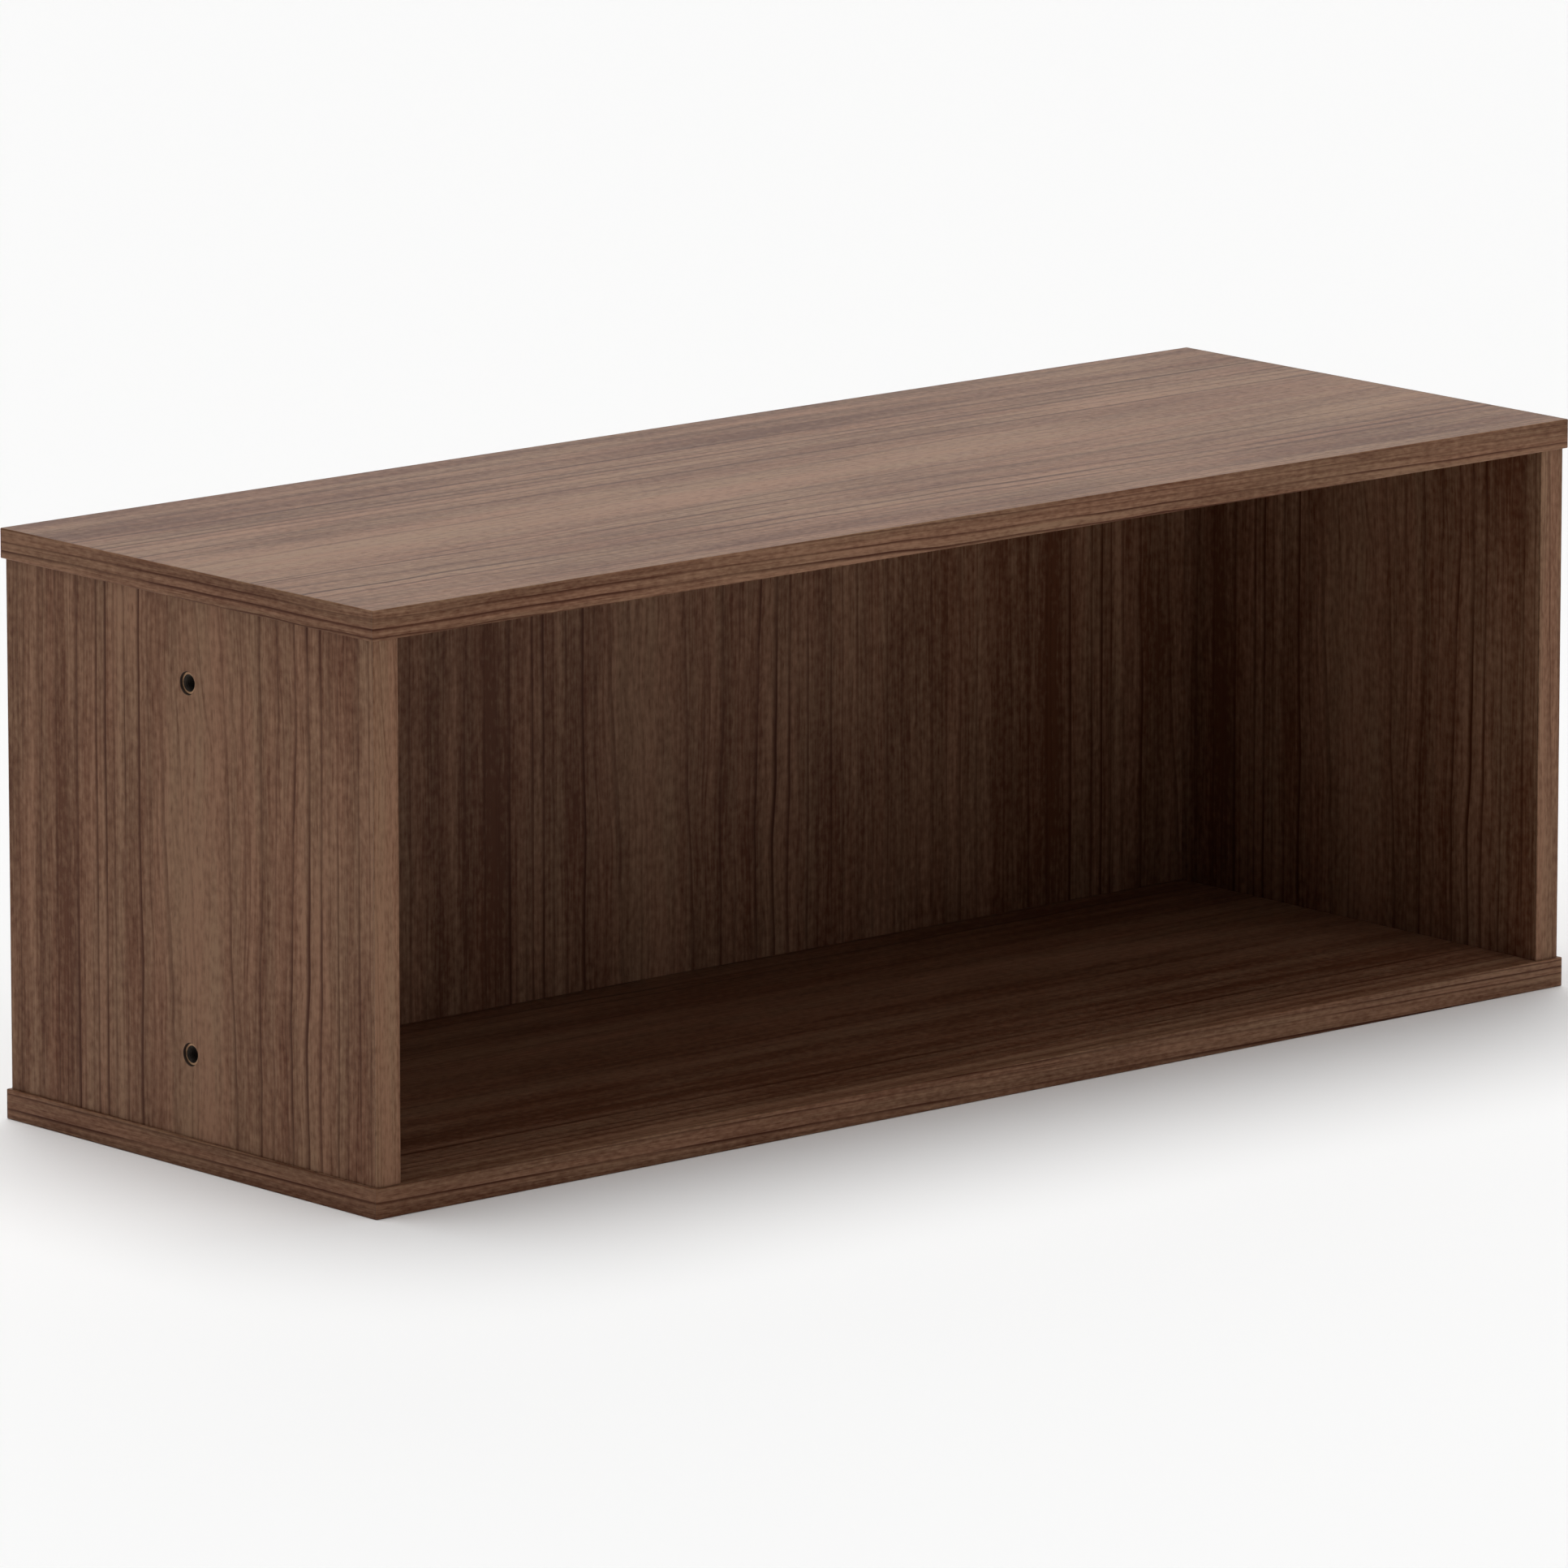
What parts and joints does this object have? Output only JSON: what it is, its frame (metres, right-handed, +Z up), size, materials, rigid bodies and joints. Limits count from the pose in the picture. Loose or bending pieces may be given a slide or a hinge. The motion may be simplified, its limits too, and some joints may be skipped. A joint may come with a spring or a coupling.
{
  "type": "desk hutch",
  "caption": "Open-front desktop cubby box in walnut laminate, with a full back and sunk threaded inserts in its sides.",
  "frame": {"origin": "middle of the underside, on the surface it stands on", "axes": "+X to the right along the width, -Y out of the open front, +Z up"},
  "size_m": [0.84, 0.305, 0.315],
  "materials": {
    "walnut_laminate": "satin walnut-grain laminate on particle board",
    "walnut_edge_band": "satin walnut-grain edge band",
    "insert_zinc": "dull zinc alloy",
    "beech_dowel": "raw fluted beech"
  },
  "bodies": {
    "root": {"top_board": "walnut_laminate", "bottom_board": "walnut_laminate", "left_side": "walnut_laminate", "right_side": "walnut_laminate", "back_board": "walnut_laminate", "top_band_front": "walnut_edge_band", "top_band_rear": "walnut_edge_band", "top_band_left": "walnut_edge_band", "top_band_right": "walnut_edge_band", "bottom_band_front": "walnut_edge_band", "bottom_band_rear": "walnut_edge_band", "bottom_band_left": "walnut_edge_band", "bottom_band_right": "walnut_edge_band", "left_side_band_front": "walnut_edge_band", "left_side_band_rear": "walnut_edge_band", "right_side_band_front": "walnut_edge_band", "right_side_band_rear": "walnut_edge_band", "insert_left_upper": "insert_zinc", "insert_left_lower": "insert_zinc", "insert_right_upper": "insert_zinc", "insert_right_lower": "insert_zinc", "dowel_left_side_top_front": "beech_dowel", "dowel_left_side_top_middle": "beech_dowel", "dowel_left_side_top_rear": "beech_dowel", "dowel_left_side_bottom_front": "beech_dowel", "dowel_left_side_bottom_middle": "beech_dowel", "dowel_left_side_bottom_rear": "beech_dowel", "dowel_back_left_upper": "beech_dowel", "dowel_back_left_middle": "beech_dowel", "dowel_back_left_lower": "beech_dowel", "dowel_right_side_top_front": "beech_dowel", "dowel_right_side_top_middle": "beech_dowel", "dowel_right_side_top_rear": "beech_dowel", "dowel_right_side_bottom_front": "beech_dowel", "dowel_right_side_bottom_middle": "beech_dowel", "dowel_right_side_bottom_rear": "beech_dowel", "dowel_back_right_upper": "beech_dowel", "dowel_back_right_middle": "beech_dowel", "dowel_back_right_lower": "beech_dowel", "dowel_back_top_1": "beech_dowel", "dowel_back_top_2": "beech_dowel", "dowel_back_top_3": "beech_dowel", "dowel_back_top_4": "beech_dowel", "dowel_back_bottom_1": "beech_dowel", "dowel_back_bottom_2": "beech_dowel", "dowel_back_bottom_3": "beech_dowel", "dowel_back_bottom_4": "beech_dowel"}
  },
  "joints": []
}
